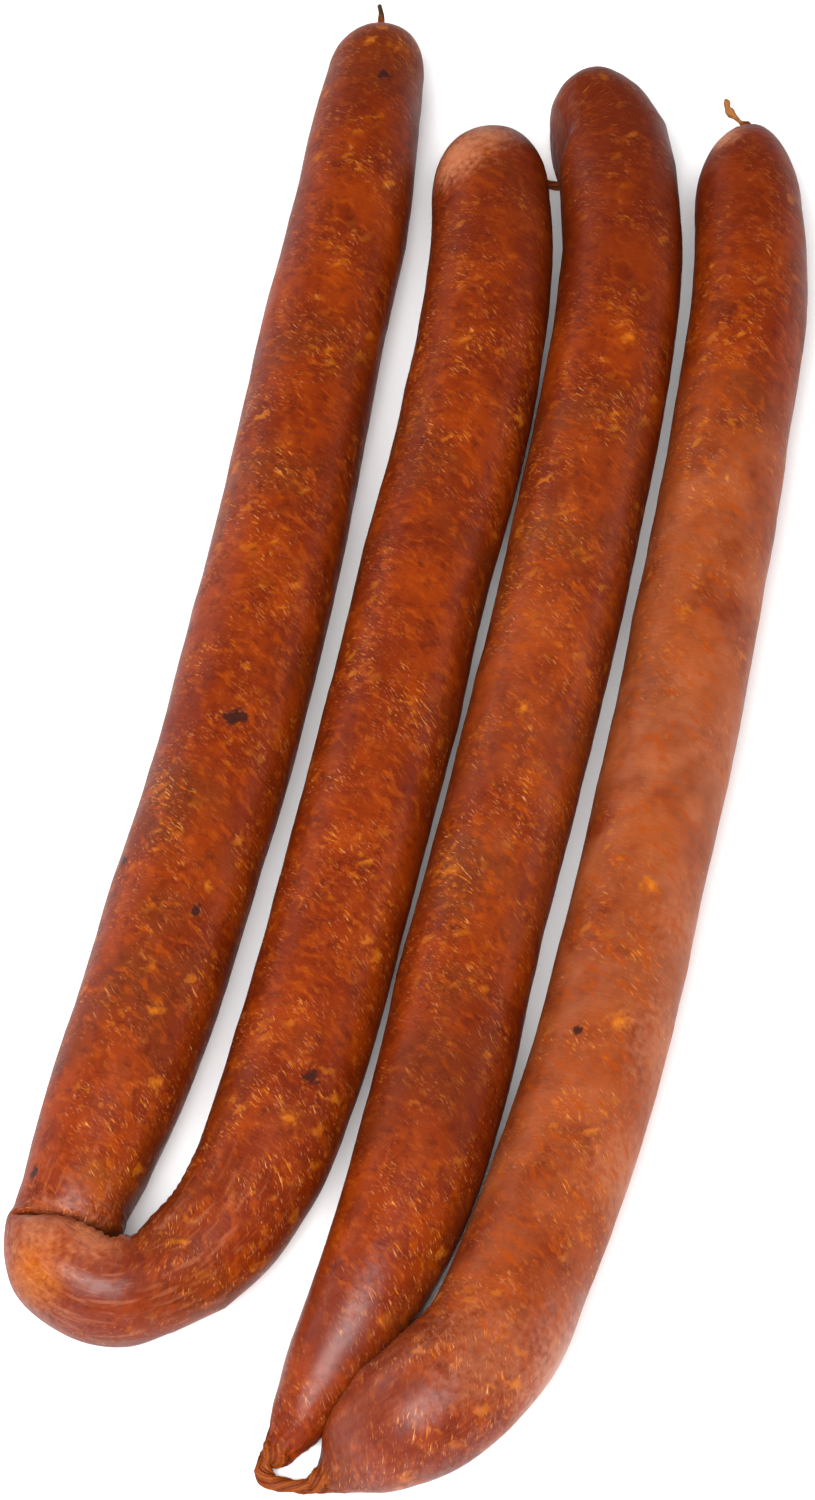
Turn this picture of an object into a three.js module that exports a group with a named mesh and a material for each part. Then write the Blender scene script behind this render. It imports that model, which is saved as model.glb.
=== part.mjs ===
// A string of four long smoked sausage links, lying folded in a zigzag on a table.
// Millimetres. X runs across the links, Y along them, Z up. The origin is at the bottom centre of its box.
// One casing runs through the whole string, so it is one solid: a row of upright sections, each an
// ellipse across the string's path, skinned from the first casing end to the last.
import * as THREE from "three";

const SIDES = 24; // corners of a section
const BODY_STEP = 10.6; // most distance between the sections of a link's body
const DOME_SECTIONS = 8; // sections over a rounded end
const FOLD_SECTIONS = 25; // and so on for the other stretches of the string
const TURNED_END_SECTIONS = 13;
const TWIST_SECTIONS = 11;
const TAIL_SECTIONS = 5;
const BOX_CENTRE = new THREE.Vector2(6.28, 23.3); // of the middle lines below

// Middle line of each link and its thickness there: x, y, diameter, and the lift off the table where
// it has one. The string starts at the far end of the first link, runs towards the near end, and
// turns back at the end of each link.
const FIRST_LINK = [
  [-7.4, 178, 22],
  [-9.9, 159, 24.6],
  [-12.7, 136, 26.3],
  [-18.5, 103, 27],
  [-24.3, 66, 27.4],
  [-30.7, 29, 27.9],
  [-38.2, -7, 27.7],
  [-45, -35, 27.6],
  [-51.3, -60.5, 27],
  [-56.4, -77.3, 25.7],
  [-60.5, -90, 23.4],
];
const SECOND_LINK = [
  [-41.5, -110.1, 21.8],
  [-34.7, -103.1, 23.2],
  [-29.6, -94.3, 24.4],
  [-26, -85.6, 25.4],
  [-18.8, -60.4, 26.3],
  [-12.7, -34.4, 26.6],
  [-4.5, 2, 27.2],
  [3.6, 41, 27.5],
  [12.4, 81, 27.9],
  [17.4, 114, 27.4],
  [18.8, 133, 27],
  [18.7, 141, 26.4],
];
const THIRD_LINK = [
  [46.9, 149, 26.4],
  [47.4, 136, 26.6],
  [47.3, 125, 26.7],
  [43, 92, 26.9],
  [34.9, 51, 26.7],
  [26.5, 12, 26.3],
  [17.5, -25, 26],
  [11.2, -51.7, 26.1],
  [7.6, -68.9, 26.1],
  [3.4, -85.6, 25.6],
  [-1.6, -101.7, 24],
  [-9.4, -119.5, 20],
  [-14.6, -128.2, 15.6],
  [-18, -134, 12.4],
  [-21.2, -139.6, 9.4],
  [-23.9, -143.4, 6.6],
];
const FOURTH_LINK = [
  [-15.6, -148.9, 6.4, 0.3],
  [-13.6, -148, 10.6, 0.7],
  [-9.8, -145.8, 17, 1.3],
  [-3.4, -142.7, 23.3, 1.9],
  [5.1, -137.7, 25.7, 2.2],
  [15.2, -126.8, 25.7, 1.5],
  [21.5, -112.4, 25.5, 0.4],
  [28.5, -94, 25.8],
  [36.7, -68.8, 25.7],
  [43.1, -43, 25.5],
  [51.7, -7, 25.6],
  [59.7, 31, 25.5],
  [67.8, 71.5, 25.4],
  [74.8, 113, 25.2],
  [75.9, 130.4, 24.5],
  [75.9, 138, 23.9],
];

// Rounded ends: how far the dome reaches past the body, where its tip lies beside the middle line
// (to the left of the path), how high, and the radius of casing that leaves it.
const FIRST_FAR_END = { reach: 13, aside: 1.6, tipHeight: 11, tipRadius: 1.1, bluntness: 0.8 };
const SECOND_FAR_END = { reach: 20.4, aside: -0.9, tipHeight: 8, tipRadius: 1.4, bluntness: 1 };
const THIRD_NEAR_END = { reach: 2.6, aside: -1, tipHeight: 2.6, tipRadius: 1.9, bluntness: 1 };
const FOURTH_NEAR_END = { reach: 2.1, aside: 0, tipHeight: 2.4, tipRadius: 1.5, bluntness: 0.9 };
const FOURTH_FAR_END = { reach: 23, aside: -1.5, tipHeight: 13, tipRadius: 1.5, bluntness: 1.1 };

// The fold between the first two links: the casing is bent over on itself, so that only its outer
// side runs through and a crack parts the two ends. Its sections stand between two rails.
const FOLD_RIGHT = [
  [-73, -94.2],
  [-73.9, -97.2],
  [-74.3, -98.8],
  [-74.7, -100.1],
  [-75.1, -101.4],
  [-75.4, -102.9],
  [-75.5, -105.6],
  [-75.2, -110],
  [-73.4, -115.6],
  [-67.9, -121.2],
  [-60.2, -124.9],
  [-51.8, -125.7],
  [-43.2, -122.6],
];
const FOLD_LEFT = [
  [-52.6, -100.4],
  [-54, -103],
  [-57.2, -104.9],
  [-63.5, -103.9],
  [-69.4, -102.9],
  [-72.3, -103.3],
  [-70.4, -103.9],
  [-65.5, -104.4],
  [-60.8, -105.9],
  [-57.2, -107.4],
  [-54.6, -108],
  [-52.2, -106.8],
  [-50.2, -104.4],
];
const FOLD_HALF_HEIGHT = [11.4, 10.8, 10.2, 9.4, 8.6, 8, 8.8, 10.6, 11.8, 12.2, 12.2, 12, 11.4];

// The far end of the third link is turned over to its left, so its casing leaves low at its side.
const TURNED_END_RIGHT = [
  [34.9, 154.3],
  [35.4, 154.3],
  [35.8, 154.1],
  [36, 153.6],
  [36.1, 152.9],
  [35.7, 151.8],
  [34.8, 150.6],
];
const TURNED_END_LEFT = [
  [34.9, 156.3],
  [33, 161.3],
  [32.4, 166.8],
  [37, 173],
  [44, 175.5],
  [52.4, 170.2],
  [58.4, 159.8],
];
const TURNED_END_HALF_HEIGHT = [1.3, 4.5, 9, 11.6, 12.6, 13.1, 13.2];

// Twisted casing between two links and at the string's two ends: x, y, height, radius.
const FAR_TWIST = [
  [20.2, 162.6, 7, 1.3],
  [22.4, 163.9, 5.6, 1.2],
  [25, 162.9, 3.8, 1.1],
  [27.8, 159.8, 2.4, 1.1],
  [30.2, 157, 1.6, 1.1],
  [33.4, 155.4, 1.4, 1.1],
];
const NEAR_TWIST = [
  [-26.7, -146.9, 2.4, 1.8],
  [-26.3, -148, 2.2, 1.75],
  [-25, -149.2, 2.1, 1.7],
  [-22.8, -149.6, 2, 1.6],
  [-20.8, -149.8, 2, 1.5],
  [-18.8, -149.9, 2.2, 1.4],
];
const FIRST_TAIL = [
  [-6.5, 199.8, 11.6, 0.45],
  [-6.1, 197.5, 11.3, 0.6],
  [-6.2, 192.6, 11, 0.9],
];
const LAST_TAIL = [
  [76.2, 162.2, 13.3, 1.3],
  [74.6, 163.6, 13.7, 1.05],
  [73, 166, 14, 1.3],
  [72.4, 169.2, 14, 0.5],
];

const UNDER_FACET = Math.cos(Math.PI / SIDES); // share of the half height down to the lowest facet

// A section: middle point, unit vector in plan to the left of the path, half width and half height.
const section = (x, y, z, left, halfWidth, halfHeight) => ({ x, y, z, left, halfWidth, halfHeight });

const curveThrough = (points) =>
  new THREE.CatmullRomCurve3(
    points.map(([x, y, z = 0]) => new THREE.Vector3(x, y, z)),
    false,
    "centripetal",
  );

const leftOf = (direction) => new THREE.Vector2(-direction.y, direction.x).normalize();

// Sections of a link's body, at every station and evenly between two of them.
function body(stations) {
  const line = curveThrough(stations);
  const lifts = curveThrough(stations.map(([, , , lift = 0], i) => [i, lift]));
  const spans = stations.length - 1;
  const sections = [];
  const add = (t) => {
    const at = line.getPoint(t);
    const half = at.z / 2;
    const z = half * UNDER_FACET + Math.max(0, lifts.getPoint(t).y);
    sections.push(section(at.x, at.y, z, leftOf(line.getTangent(t)), half, half));
  };
  for (let span = 0; span < spans; span++) {
    const [[x0, y0], [x1, y1]] = [stations[span], stations[span + 1]];
    const steps = Math.ceil(Math.hypot(x1 - x0, y1 - y0) / BODY_STEP);
    for (let step = 0; step < steps; step++) add((span + step / steps) / spans);
  }
  add(1);
  return sections;
}

// Sections of the dome past the body's last section, out to the tip. A link that starts with its
// dome gets them from its first section, reaching the other way, and in reverse.
function dome(from, { reach, aside, tipHeight, tipRadius, bluntness }, starts = false) {
  const forward = new THREE.Vector2(from.left.y, -from.left.x);
  const along = forward.multiplyScalar(starts ? -reach : reach);
  const sections = Array.from({ length: DOME_SECTIONS }, (_, i) => {
    const angle = ((i + 1) / DOME_SECTIONS) * (Math.PI / 2);
    const out = Math.sin(angle);
    const kept = Math.cos(angle);
    const half = tipRadius + (from.halfWidth - tipRadius) * kept ** bluntness;
    return section(
      from.x + along.x * out + from.left.x * aside * (1 - kept),
      from.y + along.y * out + from.left.y * aside * (1 - kept),
      tipHeight + (from.z - tipHeight) * kept,
      from.left,
      half,
      half,
    );
  });
  return starts ? sections.reverse() : sections;
}

// Sections of a thin run of casing through points with a height and a radius.
function run(points, count) {
  const line = curveThrough(points);
  const radii = curveThrough(points.map(([, , , radius], i) => [i, radius]));
  return Array.from({ length: count }, (_, i) => {
    const t = i / (count - 1);
    const at = line.getPoint(t);
    const radius = radii.getPoint(t).y;
    return section(at.x, at.y, at.z, leftOf(line.getTangent(t)), radius, radius);
  });
}

// Sections that stand between two rails, resting on the table.
function between(leftRail, rightRail, halfHeights, count) {
  const leftLine = curveThrough(leftRail);
  const rightLine = curveThrough(rightRail);
  const heights = curveThrough(halfHeights.map((half, i) => [i, half]));
  return Array.from({ length: count }, (_, i) => {
    const t = i / (count - 1);
    const leftEnd = leftLine.getPoint(t);
    const rightEnd = rightLine.getPoint(t);
    const half = heights.getPoint(t).y;
    const across = new THREE.Vector2(leftEnd.x - rightEnd.x, leftEnd.y - rightEnd.y);
    return section(
      (leftEnd.x + rightEnd.x) / 2,
      (leftEnd.y + rightEnd.y) / 2,
      half * UNDER_FACET,
      across.clone().normalize(),
      across.length() / 2,
      half,
    );
  });
}

// The whole string, from the first tail to the last.
function stringSections() {
  const [first, second, third, fourth] = [FIRST_LINK, SECOND_LINK, THIRD_LINK, FOURTH_LINK].map(body);
  return [
    ...run(FIRST_TAIL, TAIL_SECTIONS),
    ...dome(first[0], FIRST_FAR_END, true),
    ...first,
    ...between(FOLD_LEFT, FOLD_RIGHT, FOLD_HALF_HEIGHT, FOLD_SECTIONS),
    ...second,
    ...dome(second.at(-1), SECOND_FAR_END),
    ...run(FAR_TWIST, TWIST_SECTIONS),
    ...between(TURNED_END_LEFT, TURNED_END_RIGHT, TURNED_END_HALF_HEIGHT, TURNED_END_SECTIONS),
    ...third,
    ...dome(third.at(-1), THIRD_NEAR_END),
    ...run(NEAR_TWIST, TWIST_SECTIONS),
    ...dome(fourth[0], FOURTH_NEAR_END, true),
    ...fourth,
    ...dome(fourth.at(-1), FOURTH_FAR_END),
    ...run(LAST_TAIL, TAIL_SECTIONS),
  ];
}

// One closed skin over the sections, with a fan of faces over its first and its last.
function skin(sections) {
  const positions = [];
  for (const { x, y, z, left, halfWidth, halfHeight } of sections) {
    for (let side = 0; side < SIDES; side++) {
      const angle = ((side + 0.5) / SIDES) * 2 * Math.PI;
      const across = Math.cos(angle) * halfWidth;
      positions.push(
        x + left.x * across - BOX_CENTRE.x,
        y + left.y * across - BOX_CENTRE.y,
        Math.max(0, z + Math.sin(angle) * halfHeight),
      );
    }
  }
  const last = sections.length - 1;
  const faces = [];
  for (let i = 0; i < last; i++) {
    for (let side = 0; side < SIDES; side++) {
      const a = i * SIDES + side;
      const b = i * SIDES + ((side + 1) % SIDES);
      faces.push(a, b, b + SIDES, a, b + SIDES, a + SIDES);
    }
  }
  for (const [i, turned] of [
    [0, false],
    [last, true],
  ]) {
    const { x, y, z } = sections[i];
    const centre = positions.length / 3;
    positions.push(x - BOX_CENTRE.x, y - BOX_CENTRE.y, z);
    for (let side = 0; side < SIDES; side++) {
      const a = i * SIDES + side;
      const b = i * SIDES + ((side + 1) % SIDES);
      faces.push(...(turned ? [centre, a, b] : [centre, b, a]));
    }
  }
  const geometry = new THREE.BufferGeometry();
  geometry.setAttribute("position", new THREE.Float32BufferAttribute(positions, 3));
  geometry.setIndex(faces);
  geometry.computeVertexNormals();
  return geometry;
}

const casing = new THREE.MeshStandardMaterial({ color: 0x8a3a1c, roughness: 0.42, metalness: 0 });
const sausageString = new THREE.Mesh(skin(stringSections()), casing);
sausageString.name = "sausage_string";

const part = new THREE.Group();
part.add(sausageString);

export default part;
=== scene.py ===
"""A string of four long smoked sausage links, lying folded in a zigzag on a pale table.

Every stretch of casing is a row of upright sections along the string's path. A geometry node
tree sweeps them into the skin and lays the lumps, pleats and creases of the casing on it.
Lengths are written in millimetres and turned into metres where the path is made.
"""
import math

import bpy
import numpy as np
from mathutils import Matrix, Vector


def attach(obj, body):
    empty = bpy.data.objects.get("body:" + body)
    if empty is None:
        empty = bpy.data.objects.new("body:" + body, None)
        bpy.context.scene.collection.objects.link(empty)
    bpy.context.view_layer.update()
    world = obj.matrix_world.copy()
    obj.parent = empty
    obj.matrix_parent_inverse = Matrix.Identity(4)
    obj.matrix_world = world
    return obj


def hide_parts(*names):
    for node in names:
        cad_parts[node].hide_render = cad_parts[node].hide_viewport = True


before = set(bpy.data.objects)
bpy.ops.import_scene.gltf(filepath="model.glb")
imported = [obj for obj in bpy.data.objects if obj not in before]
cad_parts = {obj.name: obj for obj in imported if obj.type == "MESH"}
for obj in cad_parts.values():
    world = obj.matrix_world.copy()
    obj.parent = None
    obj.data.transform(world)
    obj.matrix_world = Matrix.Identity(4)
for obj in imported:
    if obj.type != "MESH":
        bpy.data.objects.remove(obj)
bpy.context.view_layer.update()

NODE = "sausage_string"
MM = 0.001

BOX_CENTRE = np.array([6.28, 23.3])  # of the middle lines below, in plan
UNDER_FACET = math.cos(math.pi / 24)  # share of the half height down to the flat underside
SKIN_STEP = 1.3  # distance between the sections of a link's body
SKIN_SIDES = 96
TWIST_SIDES = 48  # of the far twist

# Middle line of each link and its thickness there: x, y, diameter, and any lift off the table.
FIRST_LINK = [
    [-7.4, 178, 22],
    [-9.9, 159, 24.6],
    [-12.7, 136, 26.3],
    [-18.5, 103, 27],
    [-24.3, 66, 27.4],
    [-30.7, 29, 27.9],
    [-38.2, -7, 27.7],
    [-45, -35, 27.6],
    [-51.3, -60.5, 27],
    [-56.4, -77.3, 25.7],
    [-60.5, -90, 23.4],
]
SECOND_LINK = [
    [-41.5, -110.1, 21.8],
    [-34.7, -103.1, 23.2],
    [-29.6, -94.3, 24.4],
    [-26, -85.6, 25.4],
    [-18.8, -60.4, 26.3],
    [-12.7, -34.4, 26.6],
    [-4.5, 2, 27.2],
    [3.6, 41, 27.5],
    [12.4, 81, 27.9],
    [17.4, 114, 27.4],
    [18.8, 133, 27],
    [18.7, 141, 26.4],
]
THIRD_LINK = [
    [46.9, 149, 26.4],
    [47.4, 136, 26.6],
    [47.3, 125, 26.7],
    [43, 92, 26.9],
    [34.9, 51, 26.7],
    [26.5, 12, 26.3],
    [17.5, -25, 26],
    [11.2, -51.7, 26.1],
    [7.6, -68.9, 26.1],
    [3.4, -85.6, 25.6],
    [-1.6, -101.7, 24],
    [-9.4, -119.5, 20],
    [-14.5, -128.3, 16.2],
    [-17.8, -134.2, 13.2],
    [-21, -139.8, 9.8],
    [-23.8, -143.6, 5.8],
]
FOURTH_LINK = [
    [-15.6, -148.9, 4.6, 0.3],
    [-13.6, -148, 9.4, 0.7],
    [-9.8, -145.8, 17, 1.3],
    [-3.4, -142.7, 23.3, 1.9],
    [5.1, -137.7, 25.7, 2.2],
    [15.2, -126.8, 25.7, 1.5],
    [21.5, -112.4, 25.5, 0.4],
    [28.5, -94, 25.8],
    [36.7, -68.8, 25.7],
    [43.1, -43, 25.5],
    [51.7, -7, 25.6],
    [59.7, 31, 25.5],
    [67.8, 71.5, 25.4],
    [74.8, 113, 25.2],
    [75.9, 130.4, 24.5],
    [75.9, 138, 23.9],
]

# Rounded ends: how far the dome reaches past the body, where its tip lies to the left of the path,
# how high, the radius of casing that leaves it, and how blunt it is.
FIRST_FAR_END = dict(reach=13, aside=1.6, tip_height=11, tip_radius=1.1, bluntness=0.8)
SECOND_FAR_END = dict(reach=20.4, aside=-0.9, tip_height=8, tip_radius=1.4, bluntness=1)
THIRD_NEAR_END = dict(reach=2.9, aside=-0.6, tip_height=2.5, tip_radius=1.7, bluntness=1.7)
FOURTH_NEAR_END = dict(reach=2.6, aside=0, tip_height=2.2, tip_radius=1.4, bluntness=1.7)
FOURTH_FAR_END = dict(reach=23, aside=-1.5, tip_height=13, tip_radius=1.5, bluntness=1.1)
DOME_SECTIONS = 28

# The fold between the first two links, bent over on itself, between its right and left rails.
FOLD_RIGHT = [
    [-73, -94.2],
    [-73.9, -97.2],
    [-74.3, -98.8],
    [-74.7, -100.1],
    [-75.1, -101.4],
    [-75.4, -102.9],
    [-75.5, -105.6],
    [-75.2, -110],
    [-73.4, -115.6],
    [-67.9, -121.2],
    [-60.2, -124.9],
    [-51.8, -125.7],
    [-43.2, -122.6],
]
FOLD_LEFT = [
    [-52.8, -100.6],
    [-53.7, -103.6],
    [-56.8, -106],
    [-63.2, -104.5],
    [-69.4, -103],
    [-71.6, -103],
    [-70.4, -102.7],
    [-65.6, -103.3],
    [-61, -104.8],
    [-57.3, -106.8],
    [-54.4, -108.2],
    [-52.2, -106.8],
    [-50.2, -104.4],
]
FOLD_HALF_HEIGHT = [11.4, 11, 10.4, 9.2, 8.2, 7.6, 8.6, 10.8, 12, 12.4, 12.2, 12, 11.4]
FOLD_LIFT = [0, 0, 0.3, 1.4, 2.4, 3.2, 2.6, 1, 0.2, 0, 0, 0, 0]
FOLD_SECTIONS = 110

# The far end of the third link, turned over to its left.
TURNED_END_RIGHT = [
    [34.9, 154.3],
    [35.4, 154.3],
    [35.8, 154.1],
    [36, 153.6],
    [36.1, 152.9],
    [35.7, 151.8],
    [34.8, 150.6],
]
TURNED_END_LEFT = [
    [34.9, 156.3],
    [33, 161.3],
    [32.4, 166.8],
    [37, 173],
    [44, 175.5],
    [52.4, 170.2],
    [58.4, 159.8],
]
TURNED_END_HALF_HEIGHT = [1.3, 6.5, 10.8, 12.4, 13, 13.2, 13.2]
TURNED_END_SECTIONS = 64

# Twisted casing between two links and at the string's two ends: x, y, height, radius.
FAR_TWIST = [
    [19.5, 160.4, 8.4, 1.35],
    [20.2, 162.6, 7, 1.3],
    [22.4, 163.9, 5.4, 1.2],
    [25, 162.9, 3.4, 1.05],
    [27.8, 159.8, 1.8, 0.9],
    [30.2, 157, 1, 0.8],
    [33.4, 155.4, 1, 0.85],
    [35.3, 155.3, 1.2, 1],
]
NEAR_TWIST = [
    [-26.7, -146.9, 2.4, 1.7],
    [-26.3, -148, 2.2, 1.6],
    [-25, -149.2, 2.1, 1.45],
    [-22.8, -149.6, 1.9, 1.25],
    [-20.8, -149.9, 1.9, 1.15],
    [-18.9, -150.1, 2.1, 1.3],
]
FIRST_TAIL = [
    [-6.5, 199.8, 11.6, 0.45],
    [-6.1, 197.5, 11.3, 0.6],
    [-6.2, 192.6, 11, 0.9],
]
LAST_TAIL = [
    [76.2, 162.2, 13.3, 1.3],
    [75.2, 163.2, 13.6, 0.5],
    [74, 164.5, 13.9, 0.55],
    [72.9, 165.9, 14, 1.05],
    [72.4, 167.1, 14.1, 0.6],
    [72.3, 168.4, 14.2, 0.75],
    [72.1, 169.6, 14, 0.3],
]
TWIST_SECTIONS = 60
TAIL_SECTIONS = 30

# Half heights at which the casing starts to gather and to dry, and has done so fully.
GATHER_FROM, GATHER_FULL = 7, 2
DRY_FROM, DRY_FULL = 3.4, 1.8
TWIST_PITCH = 15  # length of casing in one turn of the twist
FOLD_WANDER = 90.0  # waves for each metre in which pleats and creases wander

# Where a section is filled out on its inner side: x, y, reach, and how much, below 0 on its
# right. The filling starts at the first of these times the reach, and is full at the second.
SQUARE_FROM, SQUARE_FULL = 1.6, 0.6
SQUARED = [
    [-63, -97, 9, 0.2],
    [-65, -113, 8, 1],
    [-58, -116, 6, 1],
    [36, 160, 12, -1],
    [44, 163, 12, -1],
]

# Where the casing is creased on the inside of a bend: x, y, reach, strength.
BENDS = [
    [-62, -112, 16, 1.0],
    [-42, -108, 18, 0.7],
    [8, -132, 20, 0.4],
    [36, 160, 9, 0.3],
]

# Stretches painted paler or darker, partly as painted light: x, y, reach, and how pale, or how dark
# below 0.
TONES_AND_PAINTED_LIGHT = [
    # Down the fourth link: partly its paler meat, partly painted haze of the light from its right.
    [69, 78, 24, 0.08],
    [65, 52, 22, 0.2],
    [59, 26, 22, 0.2],
    [52, -4, 22, 0.27],
    [44, -34, 22, 0.24],
    [37, -64, 20, 0.22],
    [28, -94, 20, 0.3],
    [17, -125, 16, 0.1],
    [-2, -142, 13, -0.12],
    [4, -80, 22, -0.45],
    [-15, -128, 14, -0.3],
    # Painted shade on the third link's turned far end, where less light reaches.
    [44, 160, 26, -0.6],
    [-56, -115, 12, -0.42],
    [-29, -97, 16, -0.14],
    [8, -136, 12, -0.14],
    [-6, -113, 12, 0.08],
    # Painted shade at the far ends of the links, where less light reaches.
    [46, 120, 26, -0.35],
    [76, 145, 24, -0.3],
    [19, 120, 20, -0.25],
    [-9, 168, 28, -0.36],
]

TABLE_SIZE = 6.0  # metres
TABLE_WHITE = (0.97, 0.97, 0.97, 1)
TABLE_ROUGHNESS = 0.9

SKY_STRENGTH = 0.26
# Name, place, target, width and height in metres, and power in watts.
SOFT_BOXES = [
    ("key_light", (-0.18, -0.6, 1.0), (0, -0.05, 0), 0.8, 0.8, 27),
    ("left_window", (-1.0, 0.6, 0.42), (0, 0, 0), 0.9, 0.5, 5.4),
    ("right_window", (1.0, 0.1, 0.26), (0, -0.04, 0), 0.9, 0.3, 3.4),
]

SENSOR_WIDTH, FOCAL_LENGTH = 36, 84
CAMERA_ELEVATION = 60  # degrees above the table
CAMERA_TARGET = (-6.28, -23.3, 13)
CAMERA_DISTANCE = 0.709  # metres


def curve_through(points):
    """A centripetal Catmull-Rom curve through the points, as a function of 0 to 1."""
    knots = np.array(points, float)
    if knots.shape[1] == 2:
        knots = np.column_stack([knots, np.zeros(len(knots))])
    knots = np.vstack([2 * knots[0] - knots[1], knots, 2 * knots[-1] - knots[-2]])
    spans = len(knots) - 3

    def at(t):
        span = min(int(t * spans), spans - 1)
        part = t * spans - span
        before, start, end, after = knots[span:span + 4]
        neighbours = ((before, start), (start, end), (end, after))
        gap0, gap1, gap2 = (math.sqrt(np.linalg.norm(b - a)) for a, b in neighbours)
        leave = (start - before) / gap0 - (end - before) / (gap0 + gap1) + (end - start) / gap1
        arrive = (end - start) / gap1 - (after - start) / (gap1 + gap2) + (after - end) / gap2
        leave, arrive = leave * gap1, arrive * gap1
        return (
            start
            + leave * part
            + (3 * (end - start) - 2 * leave - arrive) * part ** 2
            + (2 * (start - end) + leave + arrive) * part ** 3
        )

    return at


def value_curve(values):
    """A smooth run through evenly spaced single values."""
    curve = curve_through([[i, value] for i, value in enumerate(values)])
    return lambda t: curve(t)[1]


def left_of(curve, t, reach=1e-4):
    """Unit vector in plan to the left of a curve."""
    step = curve(min(1, t + reach)) - curve(max(0, t - reach))
    return np.array([-step[1], step[0]]) / math.hypot(step[0], step[1])


def section(x, y, z, left, half_width, half_height):
    """An upright oval: its middle, the direction to its left, and its size."""
    return dict(x=x, y=y, z=z, left=left, half_width=half_width, half_height=half_height)


def body(stations):
    """Sections of a link's body, close together along its middle line."""
    line = curve_through([station[:3] for station in stations])
    lift = value_curve([station[3] if len(station) > 3 else 0 for station in stations])
    spans = len(stations) - 1
    places = []
    for span in range(spans):
        gap = math.dist(stations[span][:2], stations[span + 1][:2])
        steps = math.ceil(gap / SKIN_STEP)
        places += [(span + step / steps) / spans for step in range(steps)]
    sections = []
    for t in [*places, 1]:
        x, y, diameter = line(t)
        half = diameter / 2
        z = half * UNDER_FACET + max(0, lift(t))
        sections.append(section(x, y, z, left_of(line, t), half, half))
    return sections


def dome(start, reach, aside, tip_height, tip_radius, bluntness, starts=False):
    """Sections of a rounded end past the body's last section, or before its first."""
    along = np.array([start["left"][1], -start["left"][0]]) * (-reach if starts else reach)
    sections = []
    for i in range(DOME_SECTIONS):
        angle = (i + 1) / DOME_SECTIONS * math.pi / 2
        out, kept = math.sin(angle), math.cos(angle)
        half = tip_radius + (start["half_width"] - tip_radius) * kept ** bluntness
        x, y = np.array([start["x"], start["y"]]) + along * out + start["left"] * aside * (1 - kept)
        z = tip_height + (start["z"] - tip_height) * kept
        sections.append(section(x, y, z, start["left"], half, half))
    return sections[::-1] if starts else sections


def run(points, count):
    """Sections of a thin run of casing through points with a height and a radius."""
    line = curve_through([point[:3] for point in points])
    radius = value_curve([point[3] for point in points])
    sections = []
    for t in np.linspace(0, 1, count):
        half = radius(t)
        sections.append(section(*line(t), left_of(line, t), half, half))
    return sections


def between(left_rail, right_rail, half_heights, count, lifts=(0, 0)):
    """Sections that stand between two rails, lifted off the table."""
    left_line, right_line = curve_through(left_rail), curve_through(right_rail)
    height, lift = value_curve(half_heights), value_curve(lifts)
    sections = []
    for t in np.linspace(0, 1, count):
        left_end, right_end = left_line(t)[:2], right_line(t)[:2]
        across = left_end - right_end
        width = math.hypot(*across)
        x, y = (left_end + right_end) / 2
        half = height(t)
        z = half * UNDER_FACET + max(0, lift(t))
        sections.append(section(x, y, z, across / width, width / 2, half))
    return sections


def rise(value, start, full):
    """0 before start, 1 past full, and smooth between them."""
    share = np.clip((value - start) / (full - start), 0, 1)
    return share * share * (3 - 2 * share)


def local_values(places):
    """Crease, filled-out side and tone at places in plan, from the tables above."""
    crease, left_full, right_full, tone = np.zeros((4, len(places)))

    def away(x, y):
        return np.linalg.norm(places - [x, y], axis=1)

    def nearness(x, y, reach):
        return np.exp(-((away(x, y) / reach) ** 2))

    for x, y, reach, strength in BENDS:
        crease = np.maximum(crease, strength * nearness(x, y, reach))
    for x, y, reach, amount in SQUARED:
        share = amount * rise(-away(x, y), -SQUARE_FROM * reach, -SQUARE_FULL * reach)
        left_full, right_full = np.maximum(left_full, share), np.maximum(right_full, -share)
    for x, y, reach, amount in TONES_AND_PAINTED_LIGHT:
        tone = tone + amount * nearness(x, y, reach)
    return {"crease": crease, "square": left_full - right_full, "tone": tone}


def path_object(name, sections):
    """The path as a chain of points that carry their section's shape, in metres."""
    centres = np.array([[s["x"] - BOX_CENTRE[0], s["y"] - BOX_CENTRE[1], s["z"]] for s in sections])
    across = np.array([[*(s["left"] * s["half_width"]), 0] for s in sections])
    heights = np.array([s["half_height"] for s in sections])
    steps = np.linalg.norm(np.diff(centres, axis=0), axis=1)
    along = np.concatenate([[0], np.cumsum(steps)])
    gather = rise(-heights, -GATHER_FROM, -GATHER_FULL)
    turns = np.concatenate([[0], np.cumsum(steps * gather[1:] / TWIST_PITCH)])
    columns = {
        "half_height": heights * MM,
        "along": along * MM,
        "gather": gather,
        "dry": rise(-heights, -DRY_FROM, -DRY_FULL),
        **local_values(centres[:, :2] + BOX_CENTRE),
        "spin": turns * 2 * math.pi,
    }
    mesh = bpy.data.meshes.new(name)
    mesh.from_pydata((centres * MM).tolist(), [(i, i + 1) for i in range(len(centres) - 1)], [])
    for label, values in columns.items():
        column = mesh.attributes.new(label, "FLOAT", "POINT")
        column.data.foreach_set("value", values.astype(np.float32))
    column = mesh.attributes.new("across", "FLOAT_VECTOR", "POINT")
    column.data.foreach_set("vector", (across * MM).astype(np.float32).ravel())
    made = bpy.data.objects.new(name, mesh)
    bpy.context.collection.objects.link(made)
    return made


def add(tree, kind, inputs=None, **settings):
    """A node with its settings, its inputs linked or set by name or number."""
    made = tree.nodes.new(kind)
    for name, value in settings.items():
        setattr(made, name, value)
    for name, value in (inputs or {}).items():
        socket = made.inputs[name]
        if isinstance(value, bpy.types.NodeSocket):
            tree.links.new(value, socket)
        else:
            socket.default_value = value
    return made


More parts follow.
